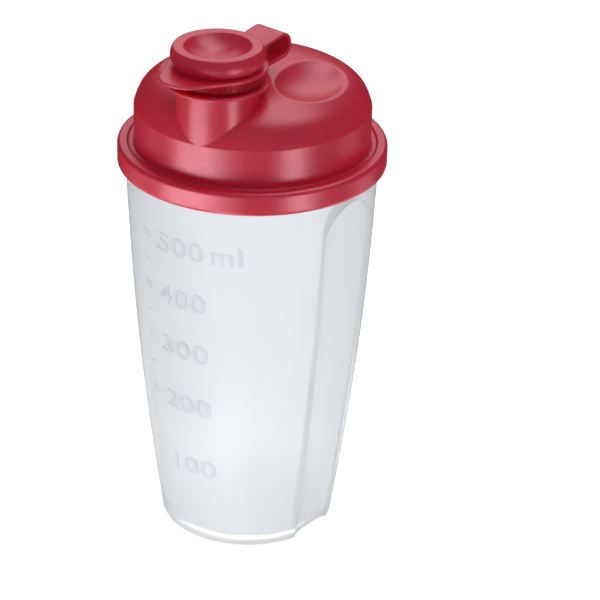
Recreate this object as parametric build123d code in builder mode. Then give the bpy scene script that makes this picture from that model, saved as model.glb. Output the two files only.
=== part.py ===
from build123d import *
from math import cos, radians, sin, sqrt
import os

# Shaker bottle for salad dressing: a frosted beaker with two grip recesses, a sieve that hangs in
# its mouth, and a press-on lid whose spout is closed by a cap on a strap. Millimetres and degrees.
# The origin is the centre of the foot, +Z is up and the spout is on the -Y side.

# Beaker: its side is one arc from foot to rim, which bulges outwards at half its height.
beaker_height = 144.2
base_radius = 31.1
rim_radius = 44.27
side_bulge = 2.245
beaker_wall = 1.3
floor_thickness = 2.0
foot_height = 2.0
foot_width = 2.2
foot_edge_radius = 0.7
inside_corner_radius = 3.0
rim_bead = 0.4
rim_bead_height = 1.6

# Grip recesses: hollow flats with an arched top, on opposite sides of the beaker.
grip_turn = -11.5
grip_depth = 3.4
grip_hollow_radius = 60.0
grip_half_width_foot = 9.3
grip_half_width_top = 12.5
grip_top = 136.6

# Sieve: a shallow cup with a flange on the beaker's rim and rings of holes in its floor.
sieve_flange_thickness = 0.8
sieve_wall = 0.9
sieve_depth = 4.1
sieve_clearance = 0.3
sieve_floor_thickness = 1.0
sieve_hole_radius = 2.0
sieve_hole_pitch = 8.2
sieve_rings = 4

# Seal: a flat soft ring between the sieve's flange and the lid.
seal_thickness = 1.0
seal_clearance = 0.3
seal_edge_radius = 0.3

# Lid: skirt over the rim, groove, upright band and crown.
skirt_clearance = 0.53
skirt_wall = 1.9
skirt_length = 8.2
skirt_foot_radius = 1.2
shoulder_radius = 1.4
snap_clearance = 0.1
snap_height = 1.2
snap_edge_radius = 0.25
web_thickness = 1.0
groove_depth = 1.0
groove_width = 2.1
groove_radius = 0.5
plug_clearance = 0.35
plug_wall_depth = 3.4
band_height = 14.2
lid_wall = 1.3
crown_height = 14.4
crown_lean = 17.0
crown_radius_shares = (0.94, 0.8, 0.6, 0.4)
crown_height_shares = (0.397, 0.708, 0.902, 0.977)

# Dimples: long round hollows for thumb and finger, left and right on the crown.
dimple_reach = 20.8
dimple_crown_share = 0.944
dimple_lean = 14.0
dimple_depth = 4.4
dimple_cross_radius = 20.0
dimple_long_radius = 44.0
dimple_edge_radius = 2.5

# Spout: an upright tube whose front is flush with the band, but for a hair's breadth.
spout_radius = 14.0
spout_inset = 0.02
spout_height = 8.0
spout_edge_radius = 0.4

# Retaining ring in a groove round the spout.
ring_radius = 17.9
ring_thickness = 1.1
ring_drop = 3.5
ring_groove_depth = 0.35
ring_running_gap = 0.08
ring_edge_radius = 0.4

# Cap: skirt over the spout, plug in its bore, thin flange with a thumb tab, and a dished head.
closure_turn = -15.0
cap_gap = 0.8
cap_skirt_radius = 15.5
cap_skirt_wall = 1.0
cap_skirt_length = 3.9
flange_radius = 17.0
flange_thickness = 0.9
tab_reach = 24.0
tab_radius = 9.6
plug_radius = 12.4
plug_wall = 1.1
plug_length = 4.6
plug_taper = 0.5
head_foot_radius = 14.4
head_radius = 16.0
head_shoulder_radius = 15.0
head_height = 6.9
head_waist_height = 3.4
head_wall = 1.3
head_edge_radius = 1.8
dish_radius = 11.6
dish_depth = 5.2
dish_edge_radius = 0.6

# Strap: a flat band from the ring, round a loop behind the cap and back to the cap's head.
strap_width = 12.6
strap_thickness = 1.1
strap_loop_radius = 3.85
strap_start = 15.9
strap_reach = 30.0
strap_low_rise = 2.2
strap_high_rise = 2.65
strap_root_drop = 0.7
strap_end_gap = 0.3

# One overrun for every cut that runs past a face.
overrun = 2.0

# Heights and the beaker's middle radius follow from the sizes above.
middle_radius = (base_radius + rim_radius) / 2 + side_bulge
floor_top = foot_height + floor_thickness
sieve_foot = beaker_height - sieve_depth
lid_web = beaker_height + sieve_flange_thickness + seal_thickness
groove_floor = lid_web + web_thickness
shoulder_top = groove_floor + groove_depth
skirt_foot = shoulder_top - skirt_length
snap_middle = beaker_height - rim_bead_height - snap_height
plug_wall_foot = lid_web - plug_wall_depth
crease = groove_floor + band_height
crown_top = crease + crown_height
spout_top = crown_top + spout_height
ring_seat = spout_top - ring_drop - ring_thickness
flange_foot = spout_top + cap_gap
flange_top = flange_foot + flange_thickness
head_top = flange_top + head_height
head_waist = flange_top + head_waist_height
dish_foot = head_top - dish_depth


def side_points(inset):
    """Foot, middle and rim points of the beaker's side, moved inwards by inset."""
    return (
        (base_radius - inset, 0),
        (middle_radius - inset, beaker_height / 2),
        (rim_radius - inset, beaker_height),
    )


def side_radius(height):
    """Radius of the beaker's side at a height, on the arc through its three points."""
    arc = ThreePointArc(*[Vector(r, z) for r, z in side_points(0)])
    across = sqrt(arc.radius**2 - (height - arc.arc_center.Y) ** 2)
    if side_bulge < 0:
        across = -across
    return arc.arc_center.X + across


# Radii that follow, from the beaker's rim inwards to the lid's band and outwards to its skirt.
sieve_outside = side_radius(sieve_foot) - beaker_wall - sieve_clearance
sieve_inside = sieve_outside - sieve_wall
band_radius = sieve_inside - plug_clearance
band_inside = band_radius - lid_wall
groove_outside = band_radius + groove_width
skirt_inside = rim_radius + rim_bead + skirt_clearance
skirt_radius = skirt_inside + skirt_wall
snap_radius = rim_radius + rim_bead + snap_clearance
spout_reach = band_radius - spout_inset - spout_radius
spout_bore = spout_radius - lid_wall
ring_groove = spout_radius - ring_groove_depth

# The closure's own frame: across the strap, and back from the spout's axis towards its loop.
spout_centre = Vector(0, -spout_reach, 0)
closure_side = Vector(cos(radians(closure_turn)), sin(radians(closure_turn)), 0)
closure_back = Vector(-sin(radians(closure_turn)), cos(radians(closure_turn)), 0)
closure_section = Plane(origin=spout_centre, x_dir=closure_back, z_dir=closure_side)
spout_axis = Axis(spout_centre, (0, 0, 1))


def closure_level(height):
    """Level plane on the spout's axis, +X across the strap and +Y towards its loop."""
    return Plane(origin=spout_centre + Vector(0, 0, height), x_dir=closure_side, z_dir=(0, 0, 1))


def grip_cutter(extra):
    """What one grip takes out of the +X side, grown by extra on its sides and floor."""
    half_top = grip_half_width_top + extra
    half_foot = grip_half_width_foot + extra
    half_wide = half_top + overrun
    rise = grip_hollow_radius - sqrt(grip_hollow_radius**2 - half_wide**2)
    outside = grip_depth + extra + overrun
    foot, middle, rim = [Vector(r, 0, z) for r, z in side_points(grip_depth + extra)]
    with BuildPart() as cutter:
        with BuildLine() as wall_line:
            side = ThreePointArc(foot, middle, rim)
            start = foot - (side % 0) * overrun
            Line(start, foot)
        with BuildSketch(Plane(origin=start, x_dir=(0, -1, 0), z_dir=side % 0)):
            with BuildLine():
                ThreePointArc((-half_wide, rise), (0, 0), (half_wide, rise))
                Polyline(
                    (half_wide, rise),
                    (half_wide, outside),
                    (-half_wide, outside),
                    (-half_wide, rise),
                )
            make_face()
        sweep(path=wall_line.wires()[0])
        with BuildSketch(Plane.YZ):
            arch_foot = grip_top - grip_half_width_top
            with BuildLine():
                ThreePointArc((-half_top, arch_foot), (0, grip_top + extra), (half_top, arch_foot))
                Polyline(
                    (half_top, arch_foot),
                    (half_foot, -overrun),
                    (-half_foot, -overrun),
                    (-half_top, arch_foot),
                )
            make_face()
        extrude(amount=rim_radius + outside, mode=Mode.INTERSECT)
    return cutter.part


def crown_spline(radius, top):
    """Outline of the crown from the axis down to the crease."""
    points = [
        (radius * across, crease + (top - crease) * up)
        for across, up in zip(crown_radius_shares, crown_height_shares)
    ]
    lean = radians(crown_lean)
    return Spline(
        (0, top),
        *reversed(points),
        (radius, crease),
        tangents=((1, 0), (sin(lean), -cos(lean))),
    )


def dimple_plane(hand):
    """Plane through the middle of a dimple's ring-shaped cutter; hand is 1 or -1."""
    lean = radians(dimple_lean)
    rise = dimple_long_radius - dimple_depth
    surface = crease + crown_height * dimple_crown_share
    return Plane(
        origin=(hand * (dimple_reach + rise * sin(lean)), 0, surface + rise * cos(lean)),
        x_dir=(0, 1, 0),
        z_dir=(hand * cos(lean), 0, -sin(lean)),
    )


# Beaker
grip_cut = grip_cutter(0)
grip_core_cut = grip_cutter(beaker_wall)
with BuildPart() as beaker_inside:
    with BuildSketch(Plane.XZ) as inside_outline:
        with BuildLine():
            ThreePointArc(*side_points(beaker_wall))
            Polyline(
                (rim_radius - beaker_wall, beaker_height),
                (0, beaker_height),
                (0, 0),
                (base_radius - beaker_wall, 0),
            )
        make_face()
        Rectangle(rim_radius, floor_top, align=(Align.MIN, Align.MIN), mode=Mode.SUBTRACT)
        floor_corner = inside_outline.vertices().group_by(Axis.Y)[0].sort_by(Axis.X)[-1]
        fillet(floor_corner, radius=inside_corner_radius)
    revolve(axis=Axis.Z)
    with PolarLocations(0, 2, start_angle=grip_turn):
        add(grip_core_cut, mode=Mode.SUBTRACT)

with BuildPart() as beaker:
    with BuildSketch(Plane.XZ) as beaker_outline:
        with BuildLine():
            ThreePointArc(*side_points(0))
            Polyline((rim_radius, beaker_height), (0, beaker_height), (0, 0), (base_radius, 0))
        make_face()
        foot_corner = beaker_outline.vertices().group_by(Axis.Y)[0].sort_by(Axis.X)[-1]
        fillet(foot_corner, radius=foot_edge_radius)
    revolve(axis=Axis.Z)
    with BuildSketch(Plane.XZ) as bead_outline:
        with Locations((rim_radius - beaker_wall / 2, beaker_height)):
            Rectangle(
                beaker_wall / 2 + rim_bead,
                rim_bead_height,
                align=(Align.MIN, Align.MAX),
            )
        fillet(bead_outline.vertices().group_by(Axis.X)[-1], radius=rim_bead * 3 / 4)
    revolve(axis=Axis.Z)
    with PolarLocations(0, 2, start_angle=grip_turn):
        add(grip_cut, mode=Mode.SUBTRACT)
    add(beaker_inside.part, mode=Mode.SUBTRACT)
    with BuildSketch(Plane.XY):
        Circle(base_radius - grip_depth - foot_width)
    extrude(amount=foot_height, mode=Mode.SUBTRACT)

# Sieve
with BuildPart() as mixing_sieve:
    with BuildSketch(Plane.XZ):
        with BuildLine():
            Polyline(
                (0, sieve_foot),
                (sieve_outside, sieve_foot),
                (sieve_outside, beaker_height),
                (rim_radius, beaker_height),
                (rim_radius, beaker_height + sieve_flange_thickness),
                (sieve_inside, beaker_height + sieve_flange_thickness),
                (sieve_inside, sieve_foot + sieve_floor_thickness),
                (0, sieve_foot + sieve_floor_thickness),
                close=True,
            )
        make_face()
    revolve(axis=Axis.Z)
    with BuildSketch(Plane.XY.offset(sieve_foot)):
        Circle(sieve_hole_radius)
        for ring in range(1, sieve_rings + 1):
            with PolarLocations(ring * sieve_hole_pitch, 6 * ring):
                Circle(sieve_hole_radius)
    extrude(amount=sieve_floor_thickness, mode=Mode.SUBTRACT)

# Seal
with BuildPart() as seal_ring:
    with BuildSketch(Plane.XY.offset(lid_web - seal_thickness)):
        Circle(skirt_inside - seal_clearance)
        Circle(band_radius + seal_clearance, mode=Mode.SUBTRACT)
    extrude(amount=seal_thickness)
    fillet(seal_ring.edges().filter_by(GeomType.CIRCLE), radius=seal_edge_radius)

# Lid
with BuildPart() as lid_inside:
    with BuildSketch(Plane.XZ):
        with BuildLine():
            crown_spline(band_inside, crown_top - lid_wall)
            Polyline(
                (band_inside, crease),
                (band_inside, plug_wall_foot),
                (0, plug_wall_foot),
                (0, crown_top - lid_wall),
            )
        make_face()
    revolve(axis=Axis.Z)
    with Locations(dimple_plane(1), dimple_plane(-1)):
        Torus(
            dimple_long_radius - dimple_cross_radius,
            dimple_cross_radius + lid_wall,
            mode=Mode.SUBTRACT,
        )

with BuildPart() as lid:
    with BuildSketch(Plane.XZ):
        with BuildLine():
            crown_spline(band_radius, crown_top)
            FilletPolyline(
                (band_radius, crease),
                (band_radius, groove_floor),
                (groove_outside, groove_floor),
                (groove_outside, shoulder_top),
                (skirt_radius, shoulder_top),
                (skirt_radius, skirt_foot),
                (skirt_inside, skirt_foot),
                (skirt_inside, snap_middle - snap_height / 2),
                (snap_radius, snap_middle),
                (skirt_inside, snap_middle + snap_height / 2),
                (skirt_inside, lid_web),
                (band_radius, lid_web),
                (band_radius, plug_wall_foot),
                (0, plug_wall_foot),
                (0, crown_top),
                radius=(
                    groove_radius,
                    groove_radius,
                    groove_radius,
                    shoulder_radius,
                    skirt_foot_radius,
                    snap_edge_radius,
                    0,
                    0,
                    0,
                    0,
                    0,
                    groove_radius,
                    0,
                ),
            )
        make_face()
    revolve(axis=Axis.Z)
    with Locations(dimple_plane(1), dimple_plane(-1)):
        Torus(
            dimple_long_radius - dimple_cross_radius,
            dimple_cross_radius,
            mode=Mode.SUBTRACT,
        )
    fillet(lid.edges(Select.LAST), radius=dimple_edge_radius)
    with BuildSketch(Plane.XY.offset(crease)):
        with Locations(spout_centre):
            Circle(spout_radius)
    extrude(amount=spout_top - crease)
    add(lid_inside.part, mode=Mode.SUBTRACT)
    with BuildSketch(Plane.XY.offset(crease)):
        with Locations(spout_centre):
            Circle(spout_bore)
    extrude(amount=spout_top - crease, mode=Mode.SUBTRACT)
    with BuildSketch(Plane.XY.offset(ring_seat)):
        with Locations(spout_centre):
            Circle(spout_radius + overrun)
            Circle(ring_groove, mode=Mode.SUBTRACT)
    extrude(amount=ring_thickness + ring_running_gap, mode=Mode.SUBTRACT)
    fillet(lid.edges().group_by(Axis.Z)[-1], radius=spout_edge_radius)

# Retaining ring
with BuildPart() as retaining_ring:
    with BuildSketch(closure_level(ring_seat)):
        Circle(ring_radius)
        Circle(ring_groove + ring_running_gap, mode=Mode.SUBTRACT)
    extrude(amount=ring_thickness)
    fillet(
        retaining_ring.edges().filter_by(GeomType.CIRCLE).group_by(SortBy.RADIUS)[-1],
        radius=ring_edge_radius,
    )

# Cap
with BuildPart() as pour_cap:
    with BuildSketch(closure_section) as cap_outline:
        with BuildLine():
            TangentArc((0, dish_foot), (dish_radius, head_top), tangent=(1, 0))
            Line((dish_radius, head_top), (head_shoulder_radius, head_top))
            ThreePointArc(
                (head_shoulder_radius, head_top),
                (head_radius, head_waist),
                (head_foot_radius, flange_top),
            )
            Polyline(
                (head_foot_radius, flange_top),
                (flange_radius, flange_top),
                (flange_radius, flange_foot),
                (cap_skirt_radius, flange_foot),
                (cap_skirt_radius, flange_foot - cap_skirt_length),
                (cap_skirt_radius - cap_skirt_wall, flange_foot - cap_skirt_length),
                (cap_skirt_radius - cap_skirt_wall, flange_foot),
                (plug_radius, flange_foot),
                (plug_radius - plug_taper, flange_foot - plug_length),
                (plug_radius - plug_taper - plug_wall, flange_foot - plug_length),
                (plug_radius - plug_wall, flange_top),
                (head_foot_radius - head_wall, flange_top),
                (head_radius - head_wall, head_waist),
                (head_shoulder_radius - head_wall, head_top - head_wall),
                (dish_radius + head_wall / 2, head_top - head_wall),
            )
            TangentArc(
                (0, dish_foot - head_wall),
                (dish_radius + head_wall / 2, head_top - head_wall),
                tangent=(1, 0),
            )
            Line((0, dish_foot - head_wall), (0, dish_foot))
        make_face()
        head_corners = cap_outline.vertices().group_by(Axis.Y)[-1].sort_by(Axis.X)
        fillet(head_corners[0], radius=dish_edge_radius)
        fillet(head_corners[-1], radius=head_edge_radius)
    revolve(axis=spout_axis)
    with BuildSketch(closure_level(flange_foot)):
        Circle(flange_radius)
        with Locations((0, tab_radius - tab_reach)):
            Circle(tab_radius)
        make_hull()
        Circle(head_foot_radius - head_wall, mode=Mode.SUBTRACT)
    extrude(amount=flange_thickness)

# Strap
strap_low = ring_seat + ring_thickness
strap_root = head_waist - strap_root_drop
with BuildPart() as hinge_strap:
    with BuildSketch(closure_section):
        with BuildLine():
            FilletPolyline(
                (strap_start, strap_low),
                (strap_reach, strap_low + strap_low_rise),
                (strap_reach, strap_root + strap_high_rise),
                (head_foot_radius, strap_root),
                radius=strap_loop_radius,
            )
        trace(line_width=strap_thickness)
    extrude(amount=strap_width / 2, both=True)
    with BuildSketch(closure_level(ring_seat)):
        Circle(ring_radius)
    extrude(amount=ring_thickness, mode=Mode.SUBTRACT)
    with BuildSketch(closure_level(flange_top)):
        Circle(head_radius + strap_end_gap)
    extrude(amount=head_height, mode=Mode.SUBTRACT)

os.makedirs("parts", exist_ok=True)
beaker.part.label = "beaker"
export_step(beaker.part, "parts/beaker.step")
mixing_sieve.part.label = "mixing_sieve"
export_step(mixing_sieve.part, "parts/mixing_sieve.step")
seal_ring.part.label = "seal_ring"
export_step(seal_ring.part, "parts/seal_ring.step")
lid.part.label = "lid"
export_step(lid.part, "parts/lid.step")
retaining_ring.part.label = "retaining_ring"
export_step(retaining_ring.part, "parts/retaining_ring.step")
pour_cap.part.label = "pour_cap"
export_step(pour_cap.part, "parts/pour_cap.step")
hinge_strap.part.label = "hinge_strap"
export_step(hinge_strap.part, "parts/hinge_strap.step")
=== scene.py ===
import math

import bmesh
import bpy
from mathutils import Matrix, Vector


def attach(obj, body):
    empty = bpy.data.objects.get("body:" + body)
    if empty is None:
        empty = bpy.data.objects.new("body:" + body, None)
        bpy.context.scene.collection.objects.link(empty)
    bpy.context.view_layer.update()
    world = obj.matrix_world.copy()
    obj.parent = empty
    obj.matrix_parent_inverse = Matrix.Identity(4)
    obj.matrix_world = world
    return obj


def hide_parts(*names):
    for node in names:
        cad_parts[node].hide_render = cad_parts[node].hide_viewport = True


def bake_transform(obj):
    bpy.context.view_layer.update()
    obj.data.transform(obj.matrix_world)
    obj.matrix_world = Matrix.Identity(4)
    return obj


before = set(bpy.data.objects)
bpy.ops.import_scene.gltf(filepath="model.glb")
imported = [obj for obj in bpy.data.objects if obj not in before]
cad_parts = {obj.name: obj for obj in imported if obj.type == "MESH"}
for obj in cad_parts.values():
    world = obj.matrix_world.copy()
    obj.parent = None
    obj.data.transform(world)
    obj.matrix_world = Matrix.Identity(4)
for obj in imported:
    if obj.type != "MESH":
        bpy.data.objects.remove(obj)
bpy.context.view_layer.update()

MM = 0.001

# Sizes that the looks share with the solids, in millimetres and degrees.
BEAKER_HEIGHT = 144.2
SIDE_RADII = (31.1, 39.93, 44.27)  # at the foot, at half height and at the rim
GRIP_TURN = -11.5  # of the grips, and of the scale between them
CLOSURE_TURN = -15.0  # of ring, strap and cap about the spout
SPOUT_REACH = 27.27  # from the beaker's axis to the spout's

# The photograph's camera: angles in degrees, the roll in radians, lengths in millimetres.
CAMERA_AZIMUTH = 26.0
CAMERA_ELEVATION = 27.033
CAMERA_DISTANCE = 930.0
CAMERA_TARGET = 93.0  # height of the point it looks at
CAMERA_ROLL = 0.016
CAMERA_LENS = 156.0
CAMERA_SENSOR = 36.0
CAMERA_SHIFT = (0.08304, -0.03633)
CAMERA_CLIP_END = 20.0  # in metres


# Camera
def add_camera():
    """Camera at the photograph's place, with its roll and its small shift."""
    az = math.radians(CAMERA_AZIMUTH)
    el = math.radians(CAMERA_ELEVATION)
    back = Vector((math.sin(az) * math.cos(el), -math.cos(az) * math.cos(el), math.sin(el)))
    right = Vector((math.cos(az), math.sin(az), 0))
    up = back.cross(right)
    c, s = math.cos(CAMERA_ROLL), math.sin(CAMERA_ROLL)
    right, up = right * c + up * s, up * c - right * s
    data = bpy.data.cameras.new("camera")
    data.lens = CAMERA_LENS
    data.sensor_width = CAMERA_SENSOR
    data.shift_x, data.shift_y = CAMERA_SHIFT
    data.clip_end = CAMERA_CLIP_END
    cam = bpy.data.objects.new("camera", data)
    place = (Vector((0, 0, CAMERA_TARGET)) + back * CAMERA_DISTANCE) * MM
    cam.matrix_world = Matrix(
        (
            (right.x, up.x, back.x, place.x),
            (right.y, up.y, back.y, place.y),
            (right.z, up.z, back.z, place.z),
            (0, 0, 0, 1),
        )
    )
    bpy.context.scene.collection.objects.link(cam)
    bpy.context.scene.camera = cam


# Materials
# Noises, in features a metre.
FLAKES = 3000
CLOUDS = 70
ORANGE_PEEL = 450
FROSTING = 2200
FLOW = 22
RUBBER_SKIN = 1500

# Heights of the bumps, in millimetres.
FLAKE_BUMP = 0.03
PEEL_BUMP = 0.008
SKIN_BUMP = 0.02

# Pearl red: its deep and light shades, the flakes, and painted shade in the cap's recess under
# the flange.
RED_IOR = 2.3
RED_EDGE = 0.8  # how far sharp edges look rounded, in millimetres
RED_DEEP = (0.72, 0.0008, 0.031)
RED_LIGHT = (0.79, 0.0012, 0.038)
RED_TINT = (1.0, 0.73, 0.81)
RED_ROUGHNESS = (0.40, 0.28)
RED_FLAKE = (0.95, 0.30, 0.36)
FLAKE_METAL = 0.55
FLAKE_FROM = (0.61, 0.63)  # where the noise turns into a flake
# Painted shade in the cap's recess under the flange: a darker red and a dimmed gloss tint,
# below RECESS_TOP.
RED_PAINTED_SHADE = (0.42, 0.0006, 0.012)
RED_PAINTED_SHADE_TINT = (0.16, 0.05, 0.07)
RECESS_TOP = 184.3
RECESS_FADE = 0.2

# Frosted plastic: the foot is solid, whiter and less clear, below a short fade in height.
FROSTED_IOR = 1.3
FROSTED_ROUGHNESS = 0.45
ROUGHNESS_SWING = 0.05
FLOW_STRETCH = (1.0, 1.0, 0.25)
FLOW_SHADES = (0.98, 1.01)
FOOT_FADE = (2.2, 2.7)
FOOT_COLOUR = (0.97, 0.97, 0.98)
FOOT_CLARITY = 0.4

RUBBER_SHADES = ((0.50, 0.50, 0.49), (0.60, 0.60, 0.59))
RUBBER_ROUGHNESS = (0.5, 0.7)
BEVEL_SAMPLES = 6


def math_node(nodes, links, operation, *values, clamp=True):
    """Math node over numbers and sockets; with clamp its output stays between 0 and 1."""
    node = nodes.new("ShaderNodeMath")
    node.operation = operation
    node.use_clamp = clamp
    for socket, value in zip(node.inputs, values):
        if isinstance(value, (int, float)):
            socket.default_value = value
        else:
            links.new(value, socket)
    return node.outputs[0]


class Look:
    """A node material built round one Principled shader."""

    def __init__(self, name, **values):
        self.material = bpy.data.materials.new(name)
        self.material.use_nodes = True
        self.nodes = self.material.node_tree.nodes
        self.links = self.material.node_tree.links
        self.shader = self.nodes["Principled BSDF"]
        for key, value in values.items():
            self.shader.inputs[key.replace("_", " ")].default_value = value
        coords = self.nodes.new("ShaderNodeTexCoord")
        self.place = coords.outputs["Object"]

    def noise(self, scale, detail=2.0, rough=0.5, stretch=None):
        """Noise of that many features a metre, stretched by three factors if given."""
        place = self.place
        if stretch:
            mapping = self.nodes.new("ShaderNodeMapping")
            mapping.inputs["Scale"].default_value = stretch
            self.links.new(place, mapping.inputs["Vector"])
            place = mapping.outputs["Vector"]
        node = self.nodes.new("ShaderNodeTexNoise")
        node.inputs["Scale"].default_value = scale
        node.inputs["Detail"].default_value = detail
        node.inputs["Roughness"].default_value = rough
        self.links.new(place, node.inputs["Vector"])
        return node.outputs["Fac"]

    def span(self, source, low, high, start=0.3, end=0.7):
        """Maps source, where it runs from start to end, to low to high, without overshoot."""
        node = self.nodes.new("ShaderNodeMapRange")
        node.inputs["From Min"].default_value = start
        node.inputs["From Max"].default_value = end
        node.inputs["To Min"].default_value = low
        node.inputs["To Max"].default_value = high
        self.links.new(source, node.inputs["Value"])
        return node.outputs["Result"]

    def mix(self, factor, a, b):
        """Colours a and b mixed by factor; each is a socket or a colour."""
        node = self.nodes.new("ShaderNodeMix")
        node.data_type = "RGBA"
        self.links.new(factor, node.inputs["Factor"])
        for key, value in (("A", a), ("B", b)):
            socket = [i for i in node.inputs if i.name == key and i.type == "RGBA"][0]
            if isinstance(value, tuple):
                socket.default_value = (*value, 1)
            else:
                self.links.new(value, socket)
        return [o for o in node.outputs if o.type == "RGBA"][0]

    def bump(self, source, height):
        """Bump of that height in millimetres, on top of any bump before it."""
        node = self.nodes.new("ShaderNodeBump")
        node.inputs["Strength"].default_value = 1.0
        node.inputs["Distance"].default_value = height * MM
        self.links.new(source, node.inputs["Height"])
        normal = self.shader.inputs["Normal"]
        if normal.links:
            self.links.new(normal.links[0].from_socket, node.inputs["Normal"])
        self.links.new(node.outputs["Normal"], normal)

    def add(self, a, b):
        """Sum of two sockets."""
        return math_node(self.nodes, self.links, "ADD", a, b, clamp=False)

    def times(self, a, b):
        """Product of two sockets."""
        return math_node(self.nodes, self.links, "MULTIPLY", a, b, clamp=False)

    def soften(self, radius):
        """Makes sharp edges look rounded, to that radius in millimetres."""
        node = self.nodes.new("ShaderNodeBevel")
        node.samples = BEVEL_SAMPLES
        node.inputs["Radius"].default_value = radius * MM
        self.links.new(node.outputs["Normal"], self.shader.inputs["Normal"])

    def height(self):
        """Height over the foot, in metres."""
        node = self.nodes.new("ShaderNodeSeparateXYZ")
        self.links.new(self.place, node.inputs[0])
        return node.outputs["Z"]

    def use(self, key, source):
        """Drives the shader's input of that name by a socket."""
        self.links.new(source, self.shader.inputs[key])


def pearl_red(name, grain=1.0, painted_shade_below=None):
    """Red plastic with pearl flakes: satin gloss, fine sparkle, faint orange peel.

    Below the height given in millimetres as its last argument, shade is painted on: it is
    darker and hardly shines.
    """
    look = Look(name, IOR=RED_IOR)
    look.soften(RED_EDGE)
    flakes = look.noise(FLAKES, 2.0, 0.6)
    clouds = look.noise(CLOUDS, 3.0)
    base = look.mix(look.span(clouds, 0, 1), RED_DEEP, RED_LIGHT)
    # Painted shade: below that height the red is darker and its gloss tint is dimmed.
    if painted_shade_below:
        fade = (painted_shade_below - RECESS_FADE) * MM, painted_shade_below * MM
        shade_mask = look.span(look.height(), 1, 0, *fade)
        base = look.mix(shade_mask, base, RED_PAINTED_SHADE)
        look.use("Specular Tint", look.mix(shade_mask, RED_TINT, RED_PAINTED_SHADE_TINT))
    else:
        look.shader.inputs["Specular Tint"].default_value = (*RED_TINT, 1)
    glint = look.span(flakes, 0, FLAKE_METAL, *FLAKE_FROM)
    look.use("Base Color", look.mix(glint, base, RED_FLAKE))
    look.use("Metallic", glint)
    look.use("Roughness", look.span(flakes, *RED_ROUGHNESS))
    look.bump(flakes, FLAKE_BUMP * grain)
    look.bump(look.noise(ORANGE_PEEL, 1.0), PEEL_BUMP)
    return look.material


def frosted(name, colour, clarity, soft_edge=0.0, foot=False):
    """Milky translucent plastic with a fine spark-eroded skin, whiter in a solid foot."""
    look = Look(name, IOR=FROSTED_IOR, Transmission_Weight=clarity)
    if soft_edge:
        look.soften(soft_edge)
    skin = look.noise(FROSTING, 2.0, 0.6)
    flow = look.noise(FLOW, 3.0, 0.5, FLOW_STRETCH)
    dim, pale = (tuple(min(1.0, c * shade) for c in colour) for shade in FLOW_SHADES)
    wall = look.mix(look.span(flow, 0, 1), dim, pale)
    if foot:
        solid = look.span(look.height(), 1, 0, *(z * MM for z in FOOT_FADE))
        wall = look.mix(solid, wall, FOOT_COLOUR)
        cloudy = look.span(solid, clarity, clarity * FOOT_CLARITY, 0, 1)
        look.use("Transmission Weight", cloudy)
    look.use("Base Color", wall)
    low, high = FROSTED_ROUGHNESS - ROUGHNESS_SWING, FROSTED_ROUGHNESS + ROUGHNESS_SWING
    look.use("Roughness", look.span(skin, low, high))
    look.bump(skin, SKIN_BUMP)
    return look.material


def soft_rubber(name):
    """Grey rubber with a fine matt skin."""
    look = Look(name)
    skin = look.noise(RUBBER_SKIN, 3.0)
    look.use("Base Color", look.mix(look.span(skin, 0, 1), *RUBBER_SHADES))
    look.use("Roughness", look.span(skin, *RUBBER_ROUGHNESS))
    look.bump(skin, SKIN_BUMP)
    return look.material


def dress(node, material):
    """Gives a CAD node that material alone."""
    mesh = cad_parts[node].data
    mesh.materials.clear()
    mesh.materials.append(material)


# Mesh helpers
def new_mesh(name, verts, faces, material, smooth=True):
    """An object of one material from corners in millimetres, its faces turned outward."""
    mesh = bpy.data.meshes.new(name)
    mesh.from_pydata([Vector(v) * MM for v in verts], [], faces)
    mesh.update()
    bm = bmesh.new()
    bm.from_mesh(mesh)
    bmesh.ops.recalc_face_normals(bm, faces=bm.faces)
    bm.to_mesh(mesh)
    bm.free()
    for poly in mesh.polygons:
        poly.use_smooth = smooth
    mesh.materials.append(material)
    obj = bpy.data.objects.new(name, mesh)
    bpy.context.scene.collection.objects.link(obj)
    return obj


def closure_point(t, side, z):
    """Point t behind the spout's axis along the strap, side across it, at height z."""
    a = math.radians(CLOSURE_TURN)
    return Vector(
        (
            side * math.cos(a) - t * math.sin(a),
            -SPOUT_REACH + side * math.sin(a) + t * math.cos(a),
            z,
        )
    )


def rounded_path(corners, radius, step):
    """Points, about a step apart, along a polyline whose corners are rounded to radius."""
    points = [Vector(corners[0])]
    for before, corner, after in zip(corners, corners[1:], corners[2:]):
        p = Vector(corner)
        u = (Vector(before) - p).normalized()
        v = (Vector(after) - p).normalized()
        half = u.angle(v) / 2
        reach = radius / math.tan(half)
        centre = p + (u + v).normalized() * radius / math.sin(half)
        start = p + u * reach
        sweep = math.pi - 2 * half
        count = max(2, round(radius * sweep / step))
        turn = 1 if u.cross(v) < 0 else -1
        arm = start - centre
        for i in range(count + 1):
            a = turn * sweep * i / count
            c, s = math.cos(a), math.sin(a)
            points.append(centre + Vector((arm.x * c - arm.y * s, arm.x * s + arm.y * c)))
    points.append(Vector(corners[-1]))
    dense = [points[0]]
    for a, b in zip(points, points[1:]):
        count = max(1, round((b - a).length / step))
        dense += [a.lerp(b, (i + 1) / count) for i in range(count)]
    return dense


# Strap: distances behind the spout's axis and heights, in millimetres.
STRAP_CORNERS = ((15.9, 180.65), (30.0, 182.3), (30.0, 190.65), (15.5, 188.05))
STRAP_RADIUS = 3.85
STRAP_WIDTH = 12.6
STRAP_THICKNESS = 1.1
STRAP_EDGE = 0.35
STRAP_STEP = 0.6
STRAP_BLEND = ((26.5, 182.2), (25.5, 189.9))  # the two ends of its bend


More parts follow.
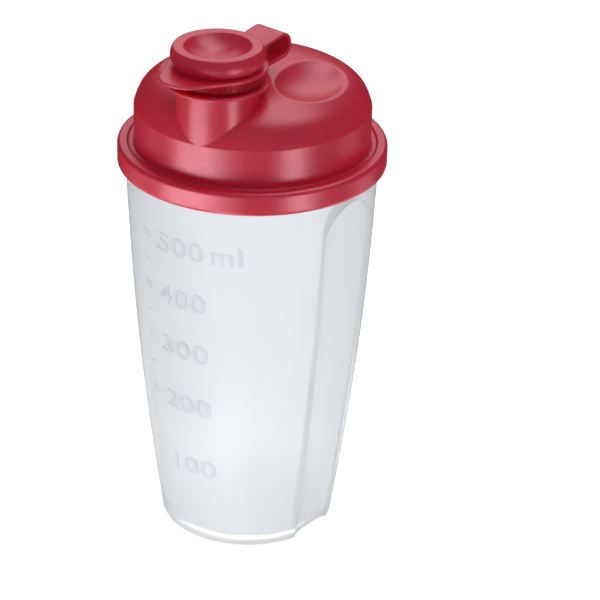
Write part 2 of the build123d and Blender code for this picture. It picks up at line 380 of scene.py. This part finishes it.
def add_strap(material):
    """The bent strap: a flat band with rounded edges, from ring to cap."""
    path = rounded_path(STRAP_CORNERS, STRAP_RADIUS, STRAP_STEP)
    half_w, half_t, edge = STRAP_WIDTH / 2, STRAP_THICKNESS / 2, STRAP_EDGE
    section = []
    for x, y, start in (
        (half_w - edge, half_t - edge, 0),
        (edge - half_w, half_t - edge, 90),
        (edge - half_w, edge - half_t, 180),
        (half_w - edge, edge - half_t, 270),
    ):
        for i in range(4):
            a = math.radians(start + 30 * i)
            section.append((x + edge * math.cos(a), y + edge * math.sin(a)))
    verts, faces = [], []
    count = len(section)
    for i, p in enumerate(path):
        q, r = path[max(i - 1, 0)], path[min(i + 1, len(path) - 1)]
        along = (r - q).normalized()
        out = Vector((-along.y, along.x))
        for side, up in section:
            place = p + out * up
            verts.append(closure_point(place.x, side, place.y))
        if i:
            for k in range(count):
                a, b = (i - 1) * count + k, (i - 1) * count + (k + 1) % count
                faces.append((a, b, b + count, a + count))
    faces.append(tuple(range(count)))
    faces.append(tuple(range(len(verts) - count, len(verts))))
    strap = new_mesh("bent_strap", verts, faces, material)
    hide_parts("hinge_strap")
    start, end = (closure_point(t, 0, z) * MM for t, z in STRAP_BLEND)
    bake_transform(strap)


# Volume scale
def side_radius(z):
    """Radius of the beaker's side at height z, on the arc through its three points."""
    mid = BEAKER_HEIGHT / 2
    (x1, y1), (x2, y2), (x3, y3) = zip(SIDE_RADII, (0, mid, BEAKER_HEIGHT))
    d = 2 * (x1 * (y2 - y3) + x2 * (y3 - y1) + x3 * (y1 - y2))
    q1, q2, q3 = x1**2 + y1**2, x2**2 + y2**2, x3**2 + y3**2
    cx = (q1 * (y2 - y3) + q2 * (y3 - y1) + q3 * (y1 - y2)) / d
    cy = (q1 * (x3 - x2) + q2 * (x1 - x3) + q3 * (x2 - x1)) / d
    radius = math.hypot(x1 - cx, y1 - cy)
    return cx + math.sqrt(radius**2 - (z - cy) ** 2) * (1 if x1 > cx else -1)


def on_side(across, z, lift):
    """Point on the beaker's side, across from the scale's centre line, lifted off the wall."""
    r = side_radius(z)
    a = math.radians(-90 + GRIP_TURN) + math.asin(max(-1, min(1, across / r)))
    return Vector(((r + lift) * math.cos(a), (r + lift) * math.sin(a), z))


# Lengths of the scale in millimetres; places across are from its centre line.
RELIEF = 0.12  # height over the wall
ROOT = 0.05  # depth in the wall
FIGURE_HEIGHT = 7.3
FIGURE_STRETCH = 1.24
FIGURE_LEFT = -8.0
FIGURE_DROP = 0.4
UNIT_STRETCH = 1.04
UNIT_LEFT = 14.0
UNIT_DROP = 0.3
CAPITAL_SHARE = 0.72  # of the typeface's size, taken by a capital's height
LETTER_SPACE = 1.1
LETTER_BOLD = 0.16  # added all round to the typeface's thin strokes
LETTER_STEPS = 6
FLAT_DEPTH = 0.1  # half thickness of the flat letters, before they are wrapped
WELD = 0.001
CUTS = range(-8, 30)  # places across, where the flat figures are cut so that they can bend
DASH_CENTRE = -13.6
LONG_DASH = (4.0, 0.8)
SHORT_DASH = (2.2, 0.9)
DASH_GAP = 0.9  # from the mark's height to each dash of its pair
MARK_ROWS = (  # millilitres and height
    (500, 122.8),
    (450, 112.8),
    (400, 102.5),
    (350, 92.4),
    (300, 82.1),
    (250, 71.0),
    (200, 59.5),
    (150, 46.4),
    (100, 33.0),
    (50, 19.6),
)


def wrap_mesh(mesh):
    """Bends a flat mesh (x across, y up, z out, in millimetres) onto the beaker's side."""
    for v in mesh.vertices:
        lift = RELIEF if v.co.z > 0 else -ROOT
        v.co = on_side(v.co.x, v.co.y, lift) * MM


def add_label(text, left, z, material, name, stretch=FIGURE_STRETCH):
    """Raised wide letters on the beaker's side, from left, centred on height z."""
    curve = bpy.data.curves.new(name, "FONT")
    curve.body = text
    curve.size = FIGURE_HEIGHT / CAPITAL_SHARE
    curve.space_character = LETTER_SPACE
    curve.extrude = FLAT_DEPTH
    curve.offset = LETTER_BOLD
    curve.resolution_u = LETTER_STEPS
    source = bpy.data.objects.new(name + "_source", curve)
    bpy.context.scene.collection.objects.link(source)
    bpy.context.view_layer.update()
    mesh = bpy.data.meshes.new_from_object(source)
    bpy.data.objects.remove(source)
    for v in mesh.vertices:
        v.co.x = v.co.x * stretch + left
        v.co.y += z - FIGURE_HEIGHT / 2
    bm = bmesh.new()
    bm.from_mesh(mesh)
    bmesh.ops.remove_doubles(bm, verts=bm.verts, dist=WELD)
    for cut in CUTS:
        geom = bm.verts[:] + bm.edges[:] + bm.faces[:]
        bmesh.ops.bisect_plane(bm, geom=geom, plane_co=(cut, 0, 0), plane_no=(1, 0, 0))
    bm.to_mesh(mesh)
    bm.free()
    wrap_mesh(mesh)
    mesh.materials.clear()
    mesh.materials.append(material)
    obj = bpy.data.objects.new(name, mesh)
    bpy.context.scene.collection.objects.link(obj)
    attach(obj, "bottle")


def add_dash(z, size, material, name):
    """A short raised dash with rounded ends, at height z."""
    width, height = size
    end_radius = height / 2
    ring = []
    for end, start in ((1, -90), (-1, 90)):
        centre = DASH_CENTRE + end * (width - height) / 2
        for i in range(7):
            a = math.radians(start + 30 * i)
            ring.append((centre + end_radius * math.cos(a), z + end_radius * math.sin(a)))
    count = len(ring)
    verts = [on_side(x, y, lift) for lift in (-ROOT, RELIEF) for x, y in ring]
    faces = [tuple(range(count)), tuple(range(count, 2 * count))]
    faces += [(i, (i + 1) % count, (i + 1) % count + count, i + count) for i in range(count)]
    dash = new_mesh(name, verts, faces, material, smooth=False)
    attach(dash, "bottle")


def add_scale(material):
    """The volume scale: a pair of dashes and figures each 100 ml, one dash between them."""
    for volume, z in MARK_ROWS:
        name = f"mark_{volume}"
        if volume % 100:
            add_dash(z, SHORT_DASH, material, name)
            continue
        add_dash(z + DASH_GAP, LONG_DASH, material, name + "_upper")
        add_dash(z - DASH_GAP, LONG_DASH, material, name + "_lower")
        add_label(str(volume), FIGURE_LEFT, z - FIGURE_DROP, material, f"figures_{volume}")
        if volume == 500:
            add_label("ml", UNIT_LEFT, z - UNIT_DROP, material, "unit", UNIT_STRETCH)


# Stage and light: the floor's size in millimetres, its reaches in metres from the axis.
FLOOR_HALF = 3000
FLOOR_TOP = -0.2
FLOOR_ROUGHNESS = 0.9
FLOOR_GRAIN = 30
FLOOR_WHITES = ((0.90, 0.90, 0.90), (0.92, 0.92, 0.92))
FLOOR_LIFT = (0.5, 0.58)  # glow for the camera, near and far
FLOOR_LIFT_REACH = (0.4, 1.6)
FLOOR_THROUGH = (2.15, 1.13, 0.99)  # glow through plastic: under the object, near it and far
FLOOR_UNDER_REACH = (0.024, 0.044)
FLOOR_NEAR_REACH = (0.04, 0.12)
FLOOR_IN_GLOSS = (0.03, 0.03, 0.03)  # the dark floor that the gloss mirrors
WORLD_DIFFUSE = 0.55
WORLD_GLOSS = 0.03

# Heights that the lamps face, in millimetres.
LAMP_TARGET = 110
LOW_TARGET = 46
BACK_TARGET = 52
FLOOR_GLOW_HEIGHT = 1


def ray_masks(nodes, links):
    """Masks of camera rays, of rays through clear plastic and of other glossy rays."""
    path = nodes.new("ShaderNodeLightPath")
    depth = math_node(nodes, links, "MINIMUM", path.outputs["Transmission Depth"], 1)
    through = math_node(nodes, links, "MAXIMUM", path.outputs["Is Transmission Ray"], depth)
    gloss = math_node(nodes, links, "SUBTRACT", path.outputs["Is Glossy Ray"], through)
    return path.outputs["Is Camera Ray"], through, gloss


def add_floor():
    """White floor: lifted to white for the camera, glowing through plastic, dark in gloss."""
    look = Look("floor", Roughness=FLOOR_ROUGHNESS)
    direct, through, gloss = ray_masks(look.nodes, look.links)
    special = math_node(look.nodes, look.links, "ADD", through, gloss)
    length = look.nodes.new("ShaderNodeVectorMath")
    length.operation = "LENGTH"
    look.links.new(look.place, length.inputs[0])
    reach = length.outputs["Value"]
    under, near, far = FLOOR_THROUGH
    glow = look.add(
        look.span(reach, under - near, 0, *FLOOR_UNDER_REACH),
        look.span(reach, near, far, *FLOOR_NEAR_REACH),
    )
    lift = look.add(
        look.times(direct, look.span(reach, *FLOOR_LIFT, *FLOOR_LIFT_REACH)),
        look.times(through, glow),
    )
    white = look.mix(look.span(look.noise(FLOOR_GRAIN, 2.0), 0, 1), *FLOOR_WHITES)
    look.use("Base Color", look.mix(special, white, FLOOR_IN_GLOSS))
    look.use("Emission Strength", lift)
    look.shader.inputs["Emission Color"].default_value = (1, 1, 1, 1)
    signs = ((-1, -1), (1, -1), (1, 1), (-1, 1))
    corners = [(x * FLOOR_HALF, y * FLOOR_HALF, FLOOR_TOP) for x, y in signs]
    floor = new_mesh("floor", corners, [(0, 1, 2, 3)], look.material, smooth=False)


def add_lamp(name, azimuth, elevation, distance, size, glow, target=LAMP_TARGET):
    """A soft area lamp of radiance glow; azimuth is from the camera's side, to its right.

    It is hidden from the camera and from rays through clear plastic.
    """
    data = bpy.data.lights.new(name, "AREA")
    data.shape = "RECTANGLE"
    data.size, data.size_y = size[0] * MM, size[1] * MM
    data.energy = glow * math.pi * data.size * data.size_y
    lamp = bpy.data.objects.new(name, data)
    a, e = math.radians(CAMERA_AZIMUTH + azimuth), math.radians(elevation)
    away = Vector((math.sin(a) * math.cos(e), -math.cos(a) * math.cos(e), math.sin(e)))
    lamp.location = (Vector((0, 0, target)) + away * distance) * MM
    lamp.rotation_euler = away.to_track_quat("Z", "Y").to_euler()
    lamp.visible_camera = False
    lamp.visible_transmission = False
    bpy.context.scene.collection.objects.link(lamp)


def add_floor_glow(name, azimuth, near, far, width, glow):
    """A lamp that lies on the floor, facing up, along a line away from the object."""
    size = (width, far - near)
    add_lamp(name, azimuth, 0, (near + far) / 2, size, glow, FLOOR_GLOW_HEIGHT)
    lamp = bpy.data.objects[name]
    lamp.rotation_euler = (math.pi, 0, math.radians(CAMERA_AZIMUTH + azimuth))


def add_lamps():
    """Lamps low on both sides and behind, strips on the floor, and two large ones above.

    Angles in degrees, distances and sizes in millimetres, then each lamp's radiance.
    """
    add_lamp("low_left", -50, 0, 240, (190, 84), 3.3, LOW_TARGET)
    add_lamp("low_right", 38, 0, 260, (80, 84), 3.9, LOW_TARGET)
    add_floor_glow("floor_left", -21, 50, 340, 36, 3.0)
    add_floor_glow("floor_right", 105, 50, 320, 120, 1.3)
    add_floor_glow("floor_side", -108, 50, 320, 120, 0.9)
    add_lamp("low_back", 180, 0, 250, (140, 100), 1.2, BACK_TARGET)
    add_lamp("back", 180, 38, 700, (600, 380), 1.0)
    add_lamp("top", 130, 74, 900, (760, 520), 1.35)


def add_world():
    """White surroundings for camera and clear plastic, dimmer ones for diffuse and gloss."""
    world = bpy.data.worlds.new("world")
    world.use_nodes = True
    nodes, links = world.node_tree.nodes, world.node_tree.links
    nodes.clear()
    direct, through, gloss = ray_masks(nodes, links)
    clear = math_node(nodes, links, "MAXIMUM", direct, through)
    fill = nodes.new("ShaderNodeMapRange")
    fill.inputs["To Min"].default_value = WORLD_DIFFUSE
    fill.inputs["To Max"].default_value = WORLD_GLOSS
    links.new(gloss, fill.inputs["Value"])
    strength = math_node(nodes, links, "MAXIMUM", clear, fill.outputs["Result"])
    sky = nodes.new("ShaderNodeBackground")
    links.new(strength, sky.inputs["Strength"])
    out = nodes.new("ShaderNodeOutputWorld")
    links.new(sky.outputs[0], out.inputs["Surface"])
    bpy.context.scene.world = world


# Assembly
add_camera()
red = pearl_red("pearl_red")
red_closure = pearl_red("pearl_red_closure", 0.9)
# The cap gets painted shade below its flange.
red_cap = pearl_red("pearl_red_cap", 0.9, painted_shade_below=RECESS_TOP)
clear = frosted("frosted_plastic", (0.92, 0.941, 0.958), 0.92, soft_edge=0.4, foot=True)
relief = frosted("frosted_relief", (0.955, 0.97, 0.99), 0.94, soft_edge=0.3)
natural = frosted("natural_plastic", (0.86, 0.88, 0.90), 0.2)
dress("beaker", clear)
dress("mixing_sieve", natural)
dress("seal_ring", soft_rubber("seal_rubber"))
dress("lid", red)
dress("retaining_ring", red_closure)
dress("pour_cap", red_cap)
add_strap(red_closure)
add_scale(relief)
add_floor()
add_lamps()
add_world()

scene = bpy.context.scene
scene.view_settings.view_transform = "Standard"
